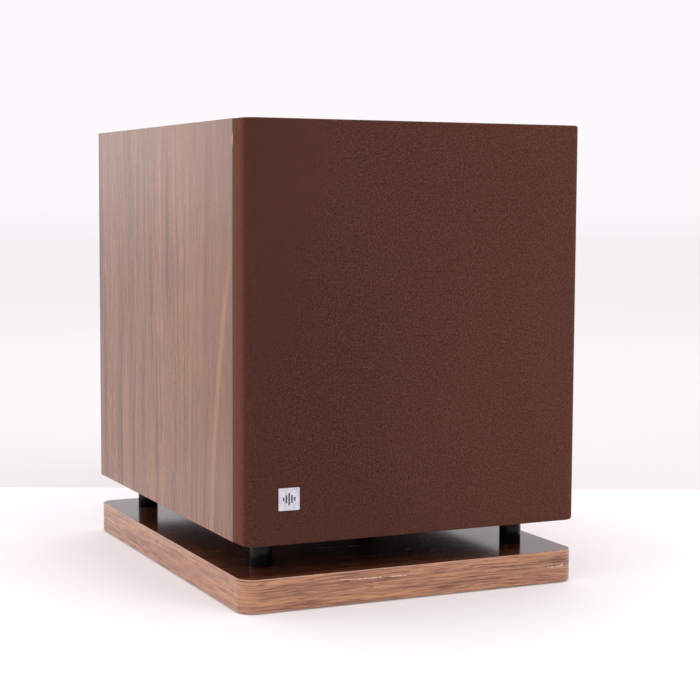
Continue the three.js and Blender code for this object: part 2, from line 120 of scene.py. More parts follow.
def make_studio():
    """A pale floor and a white backdrop under two soft lights.

    The world is bright above and behind the object, and dim in front of it. The key light hangs
    in front on the right, and the other light overhead.
    """
    world = bpy.data.worlds.new("white_studio")
    world.use_nodes = True
    sky = NodeTree(world.node_tree)
    direction = sky.node("ShaderNodeTexCoord").outputs["Generated"]
    height = sky.split(direction)[2]
    facing = sky.node("ShaderNodeVectorMath", {0: direction, 1: BACK_LEFT},
                      operation="DOT_PRODUCT").outputs["Value"]
    toward_right = sky.step(sky.split(direction)[0], 0.30, 0.60, 1.0, 0.9)
    backdrop = sky.maths("MULTIPLY", sky.step(height, -0.045, 0.03, 0.84, 1.65), toward_right)
    in_front = 0.16
    sides = sky.node("ShaderNodeMix",
                     {0: sky.step(facing, -0.70, 0.05), 2: in_front, 3: backdrop}).outputs[0]
    overhead = 1.0
    light = sky.node("ShaderNodeMix",
                     {0: sky.step(height, 0.10, 0.55), 2: sides, 3: overhead}).outputs[0]
    shown = sky.step(height, -0.03, 0.01, 0.925, 0.985)
    seen = sky.node("ShaderNodeLightPath").outputs["Is Camera Ray"]
    strength = sky.node("ShaderNodeMix", {0: seen, 2: light, 3: shown}).outputs[0]
    background = world.node_tree.nodes["Background"]
    faint_pink = (1, 0.955, 0.985, 1)
    background.inputs["Color"].default_value = faint_pink
    world.node_tree.links.new(strength, background.inputs["Strength"])
    bpy.context.scene.world = world
    bpy.context.scene.view_settings.view_transform = "Standard"

    middle = (0, 0, 0.3)
    make_area_light("key_light", (0.9, -2.4, 2.3), middle, 1.6, 23)
    make_area_light("top_light", (-0.4, 0.1, 2.8), middle, 2.2, 22)

    shader = Shader("floor_paper", roughness=0.8, specular=0.2)
    place = shader.place()
    paper = shader.ramp(shader.noise(place, 1.3, detail=2), (0, (0.80, 0.78, 0.79)),
                        (1, (0.82, 0.80, 0.80)))
    depth = shader.node("ShaderNodeVectorMath", {0: place, 1: AWAY_FROM_CAMERA},
                        operation="DOT_PRODUCT").outputs["Value"]
    # Painted shade: the floor darker past the line where a wall would meet it, less so further away.
    wall_near, wall_foot, wall_far = 0.462, 0.474, 2.5
    painted_wall_shade = shader.step(depth, wall_near, wall_foot, 0, 0.20)
    painted_shade_fade = shader.step(depth, wall_foot, wall_far, 0, 0.14)
    shader.colour(shader.mix(shader.maths("SUBTRACT", painted_wall_shade, painted_shade_fade), paper, (0, 0, 0)))
    shader.shader.inputs["Emission Color"].default_value = (1, 0.98, 1, 1)
    shader.shader.inputs["Emission Strength"].default_value = 0.12
    half = 15
    floor = make_mesh("floor", [(-half, -half, 0), (half, -half, 0), (half, half, 0), (-half, half, 0)],
                      [(0, 1, 2, 3)], [shader.material], closed=False)


# ---------------------------------------------------------------- shader nodes

def linear(r, g, b):
    """An 8-bit sRGB colour as linear numbers."""
    return tuple(((c / 255 + 0.055) / 1.055) ** 2.4 if c > 10 else c / 255 / 12.92 for c in (r, g, b))


class NodeTree:
    """A node tree, with a short call for each kind of node that the world and the materials need."""

    def __init__(self, tree):
        self.tree = tree

    def node(self, kind, inputs=(), **settings):
        """A node with its settings, and its inputs linked or set."""
        made = self.tree.nodes.new(kind)
        for key, value in settings.items():
            setattr(made, key, value)
        for socket, value in dict(inputs).items():
            self.fill(made.inputs[socket], value)
        return made

    def fill(self, socket, value):
        if isinstance(value, bpy.types.NodeSocket):
            self.tree.links.new(value, socket)
        else:
            socket.default_value = value

    def place(self):
        return self.node("ShaderNodeTexCoord").outputs["Object"]

    def grain_place(self):
        """The map that make_grain_map wrote: metres along the grain, and across it."""
        return self.node("ShaderNodeUVMap", uv_map="grain").outputs["UV"]

    def scaled(self, vector, x, y, z=1.0, offset=(0, 0, 0)):
        return self.node("ShaderNodeMapping", {
            "Vector": vector, "Scale": (x, y, z), "Location": offset}).outputs[0]

    def noise(self, vector, scale, detail=2.0, roughness=0.5, distortion=0.0):
        return self.node("ShaderNodeTexNoise", {
            "Vector": vector, "Scale": scale, "Detail": detail, "Roughness": roughness,
            "Distortion": distortion}).outputs["Fac"]

    def spots(self, vector, scale):
        """The distance to the nearest of scattered points."""
        return self.node("ShaderNodeTexVoronoi", {"Vector": vector, "Scale": scale}).outputs["Distance"]

    def maths(self, operation, a, b=0.0):
        return self.node("ShaderNodeMath", {0: a, 1: b}, operation=operation).outputs[0]

    def total(self, *weighted):
        """The sum of (weight, value) pairs, where a value is a socket or a number."""
        result = 0.0
        for weight, value in weighted:
            result = self.node("ShaderNodeMath", {0: value, 1: weight, 2: result},
                               operation="MULTIPLY_ADD").outputs[0]
        return result

    def step(self, value, low, high, out_low=0.0, out_high=1.0):
        return self.node("ShaderNodeMapRange", {
            "Value": value, "From Min": low, "From Max": high, "To Min": out_low, "To Max": out_high,
        }, interpolation_type="SMOOTHSTEP").outputs["Result"]

    def split(self, vector):
        return self.node("ShaderNodeSeparateXYZ", {0: vector}).outputs

    def ramp(self, value, *stops):
        made = self.node("ShaderNodeValToRGB", {"Fac": value})
        elements = made.color_ramp.elements
        for element, (position, colour) in zip(elements, (stops[0], stops[-1])):
            element.position, element.color = position, (*colour, 1)
        for position, colour in stops[1:-1]:
            elements.new(position).color = (*colour, 1)
        return made.outputs["Color"]

    def mix(self, factor, first, second):
        """A blend of two colours."""
        made = self.node("ShaderNodeMix", data_type="RGBA")
        self.fill(made.inputs[0], factor)
        for socket, value in ((made.inputs[6], first), (made.inputs[7], second)):
            self.fill(socket, (*value, 1) if isinstance(value, tuple) else value)
        return made.outputs[2]


class Shader(NodeTree):
    """One procedural material. What is the same all over the surface is set on the shader itself."""

    def __init__(self, name, roughness=0.5, metallic=0.0, specular=0.5, sheen=0.0,
                 sheen_roughness=0.4, sheen_tint=(1, 1, 1)):
        self.material = bpy.data.materials.new(name)
        self.material.use_nodes = True
        super().__init__(self.material.node_tree)
        self.shader = self.tree.nodes["Principled BSDF"]
        fixed = {"Roughness": roughness, "Metallic": metallic, "Specular IOR Level": specular,
                 "Sheen Weight": sheen, "Sheen Roughness": sheen_roughness,
                 "Sheen Tint": (*sheen_tint, 1)}
        for socket, value in fixed.items():
            self.shader.inputs[socket].default_value = value

    def colour(self, value):
        self.fill(self.shader.inputs["Base Color"], value)

    def roughness(self, value):
        self.fill(self.shader.inputs["Roughness"], value)

    def bump(self, height, distance, strength=1.0):
        made = self.node("ShaderNodeBump", {"Height": height, "Distance": distance, "Strength": strength})
        self.fill(self.shader.inputs["Normal"], made.outputs["Normal"])


# ---------------------------------------------------------------- mesh making

def make_mesh(name, points, faces, materials, closed=True):
    """A new object in the CAD frame. The faces of a closed one are turned to point out."""
    mesh = bpy.data.meshes.new(name)
    mesh.from_pydata([tuple(p) for p in points], [], faces)
    work = bmesh.new()
    work.from_mesh(mesh)
    if closed:
        bmesh.ops.recalc_face_normals(work, faces=work.faces)
    work.to_mesh(mesh)
    work.free()
    for material in materials:
        mesh.materials.append(material)
    made = bpy.data.objects.new(name, mesh)
    bpy.context.collection.objects.link(made)
    return made


def bevel_edges(made, width, segments=2, angle=30):
    """Rounds every edge that is sharper than angle, in the mesh itself."""
    work = bmesh.new()
    work.from_mesh(made.data)
    sharp = [edge for edge in work.edges
             if len(edge.link_faces) == 2 and edge.calc_face_angle() > math.radians(angle)]
    bmesh.ops.bevel(work, geom=sharp, offset=width, segments=segments, profile=0.5, affect="EDGES",
                    clamp_overlap=True)
    work.to_mesh(made.data)
    work.free()
    shade_by_angle(made)


def shade_by_angle(made, angle=35):
    """Smooth shading, but for faces over a square centimetre and for edges sharper than angle."""
    mesh = made.data
    flat_area = 1e-4
    mesh.polygons.foreach_set("use_smooth", [face.area < flat_area for face in mesh.polygons])
    work = bmesh.new()
    work.from_mesh(mesh)
    for edge in work.edges:
        edge.smooth = len(edge.link_faces) == 2 and edge.calc_face_angle() < math.radians(angle)
    work.to_mesh(mesh)
    work.free()


def make_block(name, low, high, materials, bevel=0.0):
    (x0, y0, z0), (x1, y1, z1) = low, high
    points = [(x, y, z) for x in (x0, x1) for y in (y0, y1) for z in (z0, z1)]
    faces = [(0, 1, 3, 2), (4, 6, 7, 5), (0, 4, 5, 1), (2, 3, 7, 6), (0, 2, 6, 4), (1, 5, 7, 3)]
    made = make_mesh(name, points, faces, materials)
    if bevel:
        bevel_edges(made, bevel)
    return made


def make_prism(name, outline, low, high, materials, place=lambda a, b, c: (a, b, c)):
    """An outline of (a, b) points carried from c = low to c = high; place turns a, b, c into x, y, z."""
    count = len(outline)
    points = [place(a, b, c) for c in (low, high) for a, b in outline]
    faces = [tuple(range(count)), tuple(range(count, 2 * count))]
    faces += [(i, (i + 1) % count, count + (i + 1) % count, count + i) for i in range(count)]
    return make_mesh(name, points, faces, materials)


def make_turned(name, profile, centre, materials, sides=96):
    """A profile of (radius, height) points turned about a vertical axis through centre.

    A profile that starts on the axis ends on it; any other one is closed into a ring.
    """
    points, rings = [], []
    on_axis = 1e-7
    for radius, height in profile:
        if radius < on_axis:
            rings.append([len(points)])
            points.append((centre[0], centre[1], centre[2] + height))
            continue
        rings.append(list(range(len(points), len(points) + sides)))
        for i in range(sides):
            turn = 2 * math.pi * i / sides
            points.append((centre[0] + radius * math.cos(turn), centre[1] + radius * math.sin(turn),
                           centre[2] + height))
    faces = []
    closed = profile[0][0] > on_axis
    pairs = list(zip(rings, rings[1:])) + ([(rings[-1], rings[0])] if closed else [])
    for ring, following in pairs:
        for i in range(sides):
            j = (i + 1) % sides
            if len(ring) == 1 and len(following) == 1:
                break
            if len(ring) == 1:
                faces.append((ring[0], following[j], following[i]))
            elif len(following) == 1:
                faces.append((ring[i], ring[j], following[0]))
            else:
                faces.append((ring[i], ring[j], following[j], following[i]))
    made = make_mesh(name, points, faces, materials)
    shade_by_angle(made)
    return made


def arc(centre, radius, start, end, steps):
    """Points round part of a circle, by degrees."""
    turns = [math.radians(start + (end - start) * i / steps) for i in range(steps + 1)]
    return [(centre[0] + radius * math.cos(t), centre[1] + radius * math.sin(t)) for t in turns]


def make_grain_map(made, rule):
    """Writes the grain map: rule(point, normal) gives metres along the grain and across it."""
    mesh = made.data
    layer = mesh.uv_layers.new(name="grain")
    for face in mesh.polygons:
        for loop in face.loop_indices:
            point = mesh.vertices[mesh.loops[loop].vertex_index].co
            layer.data[loop].uv = rule(point, face.normal)


def finish_piece(made, body, slot, *nodes):
    """The piece moves with its body and stands for its CAD nodes, which it hides; slot is not used."""
    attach(made, body)
    if nodes:
        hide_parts(*nodes)
    return made


# ---------------------------------------------------------------- materials

def strands(shader, along, across, length, width, detail, seed):
    """Noise drawn out along the grain, with features of that length and width in metres."""
    u = shader.maths("MULTIPLY", along, 1 / length)
    v = shader.maths("MULTIPLY", across, 1 / width)
    vector = shader.node("ShaderNodeCombineXYZ", {0: u, 1: v, 2: seed}).outputs[0]
    return shader.noise(vector, 1, detail=detail, roughness=0.55)


def make_walnut(name, tones, roughness, specular, wave, shift=(0, 0), relief=0.5, marks=()):
    """Walnut-grain vinyl for the cabinet: soft bands, faint streaks and short fine pores.

    tones are the dark, middle, pale and yellowish browns; wave is how far the grain strays.
    """
    shader = Shader(name, roughness=roughness, specular=specular)
    along, across, _ = shader.split(shader.scaled(shader.grain_place(), 1, 1, 1, (*shift, 0)))
    stray = strands(shader, along, across, 0.5, 0.16, 1, 3.1)
    bent = shader.total((wave, stray), (1.0, across))
    bands = strands(shader, along, bent, 0.55, 26 * MM, 2, 1.0)
    streaks = strands(shader, along, bent, 0.26, 7 * MM, 2, 2.0)
    lines = strands(shader, along, bent, 0.030, 3.4 * MM, 2, 6.0)
    flecks = strands(shader, along, across, 2.6 * MM, 3.2 * MM, 1, 7.0)
    pores = strands(shader, along, across, 4 * MM, 1.0 * MM, 1, 5.0)
    warmth = strands(shader, along, bent, 0.24, 12 * MM, 3, 8.0)

    tone = shader.total((0.30, bands), (0.30, streaks), (0.30, lines), (0.10, flecks))
    dark, mid, pale, yellow = (linear(*rgb) for rgb in tones)
    wood = shader.ramp(tone, (0.41, dark), (0.50, mid), (0.59, pale))
    wood = shader.mix(shader.step(warmth, 0.46, 0.60, 0, 0.5), wood, yellow)
    pore_mask = shader.step(pores, 0.58, 0.70, 0, 0.3)
    wood = shader.mix(pore_mask, wood, tuple(c * 0.55 for c in dark))
    for mask, colour in marks:
        wood = shader.mix(mask(shader), wood, linear(*colour))
    shader.colour(wood)
    shader.roughness(shader.total((0.10, pore_mask), (0.10, lines), (1.0, roughness - 0.05)))
    shader.bump(shader.total((-0.6, pore_mask), (0.5, lines)), 0.00010, relief)
    return shader.material


def make_walnut_band(name, tones, roughness, specular, shift=(0, 0), marks=()):
    """The plinth's walnut: close wavy growth lines, broken into short dark dashes."""
    shader = Shader(name, roughness=roughness, specular=specular)
    along, across, _ = shader.split(shader.scaled(shader.grain_place(), 1, 1, 1, (*shift, 0)))
    stray = strands(shader, along, across, 0.11, 0.05, 2, 3.1)
    bent = shader.total((5 * MM, stray), (1.0, across))
    bands = strands(shader, along, bent, 0.24, 11 * MM, 2, 1.0)
    streaks = strands(shader, along, bent, 0.095, 3.0 * MM, 2, 2.0)
    lines = strands(shader, along, bent, 0.040, 1.5 * MM, 2, 6.0)
    pores = strands(shader, along, bent, 0.014, 1.4 * MM, 1, 5.0)

    tone = shader.total((0.22, bands), (0.34, streaks), (0.44, lines))
    dark, mid, pale, yellow = (linear(*rgb) for rgb in tones)
    wood = shader.ramp(tone, (0.40, dark), (0.47, mid), (0.53, pale), (0.60, yellow))
    pore_mask = shader.step(pores, 0.55, 0.68, 0, 0.7)
    wood = shader.mix(pore_mask, wood, dark)
    for mask, colour in marks:
        wood = shader.mix(mask(shader), wood, linear(*colour))
    shader.colour(wood)
    shader.roughness(shader.total((0.12, pore_mask), (0.08, lines), (1.0, roughness - 0.04)))
    shader.bump(shader.total((-0.6, pore_mask), (0.5, lines)), 0.00010, 0.5)
    return shader.material


def edge_wear_and_painted_light_mark(axis, edge, end, strength):
    """A line between the places edge and end along that axis, ragged on the side of edge: real wear at the
    cabinet's bottom edge, painted shade along the side panels' front edge and a painted highlight along the
    plinth's top edge.
    """
    def mask(shader):
        place = shader.place()
        ragged = shader.total((1.0, shader.split(place)[axis]), (0.6 * MM, shader.noise(place, 160, 2)))
        fade = 0.5 * MM
        if end > edge:
            return shader.step(ragged, edge - fade, edge, 0, strength)
        return shader.step(ragged, edge, edge + fade, strength, 0)
    return mask


def painted_front_shade_mark(start, end, strength):
    """Painted shade: the wood darker and warmer from y = start to y = end, towards the front edge."""
    return lambda shader: shader.step(shader.split(shader.place())[1], end, start, strength, 0)


def sapwood_mark(foot, bow, half_width, top):
    """A yellowish streak up the left side panel, from y = foot, that bows forward and fades at top."""
    def mask(shader):
        x, y, z = shader.split(shader.place())
        lean = shader.total((bow, shader.maths("MULTIPLY", z, z)), (1.0, foot))
        away = shader.maths("ABSOLUTE", shader.maths("SUBTRACT", y, lean))
        across = shader.step(away, half_width * 0.2, half_width, 0.45, 0)
        left_only = shader.maths("MULTIPLY", across, shader.maths("LESS_THAN", x, 0))
        return shader.maths("MULTIPLY", left_only, shader.step(z, top - 0.08, top, 1, 0))
    return mask


def chip_mark(centre):
    """A ragged chip of a few millimetres about a point, taller than it is wide."""
    def mask(shader):
        place = shader.place()
        gap = shader.node("ShaderNodeVectorMath", {0: place, 1: centre}, operation="SUBTRACT").outputs[0]
        stretched = shader.scaled(gap, 1, 1, 0.38)
        distance = shader.node("ShaderNodeVectorMath", {0: stretched}, operation="LENGTH").outputs["Value"]
        ragged = shader.total((1.0, distance), (3 * MM, shader.noise(place, 700, 2)))
        return shader.step(ragged, 3.6 * MM, 4.2 * MM, 1, 0)
    return mask


def scratch_mark(start, end, half_width):
    """A broken scratch between two (x, z) points of the plinth's front."""
    def mask(shader):
        place = shader.place()
        x, y, z = shader.split(place)
        slope = (end[1] - start[1]) / (end[0] - start[0])
        above = shader.total((1.0, z), (-slope, x), (1.0, slope * start[0] - start[1]))
        near = shader.step(shader.maths("ABSOLUTE", above), half_width * 0.6, half_width, 1, 0)
        inside = shader.maths("MULTIPLY", shader.maths("GREATER_THAN", x, start[0]),
                              shader.maths("LESS_THAN", x, end[0]))
        broken = shader.step(shader.noise(shader.scaled(place, 1, 0, 0), 330, 2), 0.40, 0.50)
        on_front = shader.maths("MULTIPLY", inside, shader.maths("LESS_THAN", y, PLINTH_FRONT + MM))
        return shader.maths("MULTIPLY", shader.maths("MULTIPLY", near, on_front), broken)
    return mask


def make_painted_board(name, base, specular):
    """Board painted matt: a faint tooth of chips under the paint, and rubbed patches."""
    shader = Shader(name, roughness=0.85, specular=specular)
    place = shader.place()
    grit = shader.noise(place, 900, 3, 0.6)
    cloud = shader.noise(place, 14, 3)
    tone = shader.total((0.5, grit), (0.5, cloud))
    low, high = (tuple(c * k for c in base) for k in (0.75, 1.35))
    shader.colour(shader.ramp(tone, (0.3, low), (0.7, high)))
    shader.roughness(shader.step(cloud, 0.3, 0.7, 0.78, 0.92))
    shader.bump(grit, 0.00015, 0.5)
    return shader.material


def make_raw_board(name):
    """Raw particle board: pressed chips of several tans."""
    shader = Shader(name, roughness=0.9, specular=0.25)
    place = shader.place()
    chips = shader.node("ShaderNodeTexVoronoi", {"Vector": place, "Scale": 420, "Randomness": 1.0})
    chip_tone = shader.split(chips.outputs["Color"])[0]
    dust = shader.noise(place, 1600, 2)
    tone = shader.total((0.65, chip_tone), (0.35, dust))
    shader.colour(shader.ramp(tone, (0.1, linear(118, 84, 52)), (0.5, linear(176, 140, 98)),
                              (0.9, linear(214, 182, 138))))
    shader.bump(tone, 0.0002, 0.7)
    return shader.material


def make_grille_cloth(name):
    """Brown cloth in a fine diagonal weave, with uneven yarn, a faint nap and a little dust.

    Its left edge is paler, a painted highlight where the cloth turns towards the light, and it is slightly
    paler towards the right.
    """
    shader = Shader(name, roughness=0.95, specular=0.1, sheen=0.06, sheen_roughness=0.5,
                    sheen_tint=linear(200, 160, 140))
    along, across, _ = shader.split(shader.grain_place())
    weave_length = 3.0 * MM
    turn = 2 * math.pi / weave_length

    def ridge(sideways):
        angle = shader.total((turn, along), (turn * sideways, across))
        return shader.total((0.5, shader.maths("SINE", angle)), (1.0, 0.5))

    weave = shader.maths("MULTIPLY", ridge(1), ridge(-1))
    place = shader.place()
    fine = shader.noise(place, 1200, 1, 0.5)
    yarn = shader.noise(shader.scaled(place, 1, 1, 0.8), 520, 1, 0.5)
    patch = shader.noise(shader.scaled(place, 1, 0.4, 0.6), 190, 2, 0.6)
    cloud = shader.noise(place, 4, 1)
    sideways = shader.split(place)[0]
    tone = shader.total((0.13, weave), (0.13, fine), (0.22, yarn), (0.02, patch), (0.03, cloud),
                        (0.1, sideways))
    cloth = shader.ramp(tone, (0.115, linear(42, 20, 19)), (0.232, linear(77, 45, 38)),
                        (0.35, linear(114, 72, 56)))
    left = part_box("top_panel")[0].x
    # Painted highlight: the cloth paler on its left edge, where it turns to face the light.
    lit_left_edge = shader.step(sideways, left, left + 3 * MM, 0.26, 0)
    cloth = shader.mix(lit_left_edge, cloth, linear(140, 82, 58))
    dust = shader.step(shader.spots(place, 34), 0.010, 0.016, 0.45, 0)
    shader.colour(shader.mix(dust, cloth, linear(196, 172, 158)))
    shader.bump(shader.total((1.0, weave), (0.5, yarn)), 0.0002, 0.3)
    return shader.material


def make_plastic(name, base, roughness, fleck=0.10, grain_scale=1400, bump=0.00003, specular=0.5):
    """Moulded plastic: a fine moulded grain, faint handling marks and dust."""
    shader = Shader(name, roughness=roughness, specular=specular)
    place = shader.place()
    grain = shader.noise(place, grain_scale, 2)
    cloud = shader.noise(place, 30, 4, 0.6)
    low, high = (tuple(c * k for c in base) for k in (1 - fleck, 1 + 2 * fleck))
    shader.colour(shader.ramp(shader.total((0.4, grain), (0.6, cloud)), (0.35, low), (0.65, high)))
    shader.roughness(shader.step(cloud, 0.3, 0.7, roughness * 0.8, roughness * 1.25))
    shader.bump(grain, bump, 0.5)
    return shader.material


def make_metal(name, base, roughness, streak=60):
    """Plated or brushed metal: fine turned lines and patchy dulling."""
    shader = Shader(name, roughness=roughness, metallic=1.0)
    place = shader.place()
    lines = shader.noise(shader.scaled(place, 1, 1, streak), 90, 3)
    cloud = shader.noise(place, 40, 4, 0.6)
    low, high = (tuple(c * k for c in base) for k in (0.82, 1.06))
    shader.colour(shader.ramp(shader.total((0.4, lines), (0.6, cloud)), (0.35, low), (0.65, high)))
    shader.roughness(shader.step(cloud, 0.3, 0.7, roughness * 0.8, roughness * 1.4))
    shader.bump(lines, 0.00002, 0.4)
    return shader.material


def make_fibre(name, dark, pale, scale, roughness=0.95, sheen=0.3, specular=0.15):
    """Felt, wadding or paper pulp: tangled fibres at the given scale."""
    shader = Shader(name, roughness=roughness, specular=specular, sheen=sheen, sheen_roughness=0.6)
    place = shader.place()
    tangle = shader.noise(place, scale, 4, 0.7, distortion=1.2)
    cloud = shader.noise(place, 22, 3)
    shader.colour(shader.ramp(shader.total((0.6, tangle), (0.4, cloud)), (0.35, dark), (0.68, pale)))
    shader.bump(tangle, 0.0003, 0.6)
    return shader.material


def make_badge_print(name):
    """Satin silver: brushed sideways, a little tarnished."""
    shader = Shader(name, roughness=0.38, metallic=0.55, specular=0.5)
    place = shader.place()
    lines = shader.noise(shader.scaled(place, 1, 1, 40), 160, 3)
    cloud = shader.noise(place, 150, 3)
    shader.colour(shader.ramp(shader.total((0.5, lines), (0.5, cloud)), (0.35, linear(186, 186, 194)),
                              (0.65, linear(232, 232, 238))))
    shader.roughness(shader.step(cloud, 0.3, 0.7, 0.3, 0.48))
    shader.bump(lines, 0.00002, 0.4)
    return shader.material


def make_materials():
    black = (0.006, 0.006, 0.0062)
    return {
        "walnut_side": make_walnut("walnut_side", WALNUT_TONES, 0.26, 0.5, 0.05, marks=[
            # Painted shade: the side panels darker towards their front edge.
            (painted_front_shade_mark(CABINET_FRONT + 220 * MM, CABINET_FRONT, 0.6), (112, 62, 28)),
            (sapwood_mark(-0.1556, -0.42, 10 * MM, 0.40), (172, 128, 82)),
            # Painted shade: a dark strip along the side panels' front edge, in the joint with the grille.
            (edge_wear_and_painted_light_mark(1, CABINET_FRONT + 2.2 * MM, CABINET_FRONT, 0.85), (30, 20, 16)),
            (edge_wear_and_painted_light_mark(2, CABINET_BOTTOM + 1.2 * MM, CABINET_BOTTOM, 0.8), (168, 96, 52)),
            (chip_mark(CHIP_PLACE), (206, 150, 92)),
        ]),
        "walnut_top": make_walnut("walnut_top", WALNUT_TONES, 0.26, 0.62, 0.06, (1.7, 0.6)),
        "walnut_plinth_top": make_walnut("walnut_plinth_top", PLINTH_TOP_TONES, 0.13, 0.045, 0.05,
                                         (0.4, 2.2), relief=0.02),
        "walnut_plinth": make_walnut_band("walnut_plinth", PLINTH_TONES, 0.25, 0.75, (2.6, 1.3), marks=[
            # Painted highlight: a pale line along the plinth's eased top edge.
            (edge_wear_and_painted_light_mark(2, PLINTH_TOP - 0.6 * MM, PLINTH_TOP, 0.4), (200, 162, 140)),
            *((scratch_mark(*scratch), (222, 208, 202)) for scratch in PLINTH_SCRATCHES),
        ]),
        "black_board": make_painted_board("black_board", (0.016, 0.015, 0.014), 0.12),
        "shaded_board": make_painted_board("shaded_board", (0.009, 0.0085, 0.008), 0.0),
        "raw_board": make_raw_board("raw_board"),
        "grille_cloth": make_grille_cloth("grille_cloth"),
        "gloss_black": make_plastic("gloss_black", black, 0.14, fleck=0.2, bump=0.00001, specular=0.14),
        "black_plastic": make_plastic("black_plastic", (0.018, 0.018, 0.018), 0.42),
        "red_plastic": make_plastic("red_plastic", linear(150, 26, 22), 0.32),
        "silver_plate": make_badge_print("silver_plate"),
        "badge_ink": make_plastic("badge_ink", linear(52, 50, 66), 0.4),
        "zinc_steel": make_metal("zinc_steel", linear(182, 184, 188), 0.3),
        "black_steel": make_plastic("black_steel", (0.02, 0.02, 0.021), 0.36, grain_scale=700,
                                    bump=0.00006),
        "rubber": make_plastic("rubber", (0.014, 0.014, 0.014), 0.85, grain_scale=500, bump=0.0001,
                               specular=0.05),
        "cone_paper": make_fibre("cone_paper", (0.012, 0.012, 0.011), (0.032, 0.031, 0.029), 500,
                                 sheen=0.0, specular=0.0),
        "spider_cloth": make_fibre("spider_cloth", linear(140, 100, 48), linear(206, 164, 92), 900,
                                   roughness=0.9, sheen=0.1),
        "felt": make_fibre("felt", linear(28, 23, 20), linear(64, 55, 49), 1400),
        "wool": make_fibre("wool", linear(200, 194, 182), linear(244, 240, 232), 160),
        "ferrite": make_painted_board("ferrite", (0.035, 0.035, 0.04), 0.3),
        "copper": make_metal("copper", linear(190, 104, 62), 0.28, streak=600),
    }


# ---------------------------------------------------------------- cabinet and plinth

def along_z(point, normal):
    """Grain that runs up the sides."""
    across = point.y if abs(normal.x) > abs(normal.y) else point.x
    return point.z, across


def along_x(point, normal):
    """Grain that runs from side to side, over the top."""
    across = point.z if abs(normal.y) > abs(normal.z) else point.y
    return point.x, across


def make_cabinet(finish):
    """The mitred side and top panels, in vinyl, with painted board on their front edges."""
    (_, front, bottom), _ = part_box("left_side_panel")
    (left, _, _), (right, back, top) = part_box("top_panel")
    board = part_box("left_side_panel")[1][0] - left
    outline = {
        "left_side_panel": [(left, bottom), (left + board, bottom + board), (left + board, top - board),
                            (left, top)],
        "right_side_panel": [(right, bottom), (right - board, bottom + board), (right - board, top - board),
                             (right, top)],
        "top_panel": [(left, top), (left + board, top - board), (right - board, top - board), (right, top)],
    }
    ease = 0.35 * MM
    for node, corners in outline.items():
        vinyl = finish["walnut_top" if node == "top_panel" else "walnut_side"]
        panel = make_prism(node + "_vinyl", corners, front, back, [vinyl, finish["black_board"]],
                           place=lambda a, b, c: (a, c, b))
        bevel_edges(panel, ease)
        make_grain_map(panel, along_x if node == "top_panel" else along_z)
        for face in panel.data.polygons:
            looks_forward = face.normal.y < -0.9
            face.material_index = 1 if looks_forward else 0
        finish_piece(panel, "cabinet", "walnut_vinyl", node)


def rounded_outline(low, high, radius, steps=14):
    """A rounded rectangle, from the middle of its back edge."""
    (x0, y0), (x1, y1) = low, high
    r = radius
    return ([((x0 + x1) / 2, y1)]
            + arc((x0 + r, y1 - r), r, 90, 180, steps) + arc((x0 + r, y0 + r), r, 180, 270, steps)
            + arc((x1 - r, y0 + r), r, -90, 0, steps) + arc((x1 - r, y1 - r), r, 0, 90, steps))


def make_plinth(finish):
    """The plinth: grain round its edge as on an edge band, across its top, and raw board below."""
    low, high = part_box("plinth")
    radius, ease, steps = 19 * MM, 0.9 * MM, 4
    apart = 5   # puts the grain of the flat faces in another part of the pattern
    levels = [(ease * (1 - math.cos(t)), ease * (1 - math.sin(t)))
              for t in (math.pi / 2 * i / steps for i in range(steps + 1))]
    rings = [(inset, low.z + drop) for inset, drop in reversed(levels)]
    rings += [(inset, high.z - drop) for inset, drop in levels]
    points, lengths = [], None
    for inset, z in rings:
        ring = rounded_outline((low.x + inset, low.y + inset), (high.x - inset, high.y - inset),
                               radius - inset)
        points += [(x, y, z) for x, y in ring]
        if lengths is None:
            lengths = [0.0]
            for a, b in zip(ring, ring[1:] + ring[:1]):
                lengths.append(lengths[-1] + math.dist(a, b))
    count = len(points) // len(rings)
    faces, maps = [], []
    for k in range(len(rings) - 1):
        for i in range(count):
            j = (i + 1) % count
            faces.append((k * count + i, k * count + j, (k + 1) * count + j, (k + 1) * count + i))
            heights = [rings[k][1], rings[k][1], rings[k + 1][1], rings[k + 1][1]]
            spans = [lengths[i], lengths[i + 1], lengths[i + 1], lengths[i]]
            maps.append(list(zip(spans, heights)))
    faces.append(tuple(range(count))[::-1])
    faces.append(tuple(range((len(rings) - 1) * count, len(rings) * count)))
    mesh = bpy.data.meshes.new("plinth_board")
    mesh.from_pydata(points, [], faces)
    for material in (finish["walnut_plinth"], finish["raw_board"], finish["walnut_plinth_top"]):
        mesh.materials.append(material)
    layer = mesh.uv_layers.new(name="grain")
    for face in mesh.polygons:
        for n, loop in enumerate(face.loop_indices):
            point = mesh.vertices[mesh.loops[loop].vertex_index].co
            if face.index < len(maps):
                layer.data[loop].uv = maps[face.index][n]
            else:
                layer.data[loop].uv = (point.x, point.y + apart)
        face.material_index = 1 if face.normal.z < -0.9 else 2 if face.normal.z > 0.9 else 0
    board = bpy.data.objects.new("plinth_board", mesh)
    bpy.context.collection.objects.link(board)
    shade_by_angle(board, 40)
    cut_bolt_recesses(board, finish)
    finish_piece(board, "cabinet", "walnut_vinyl", "plinth")


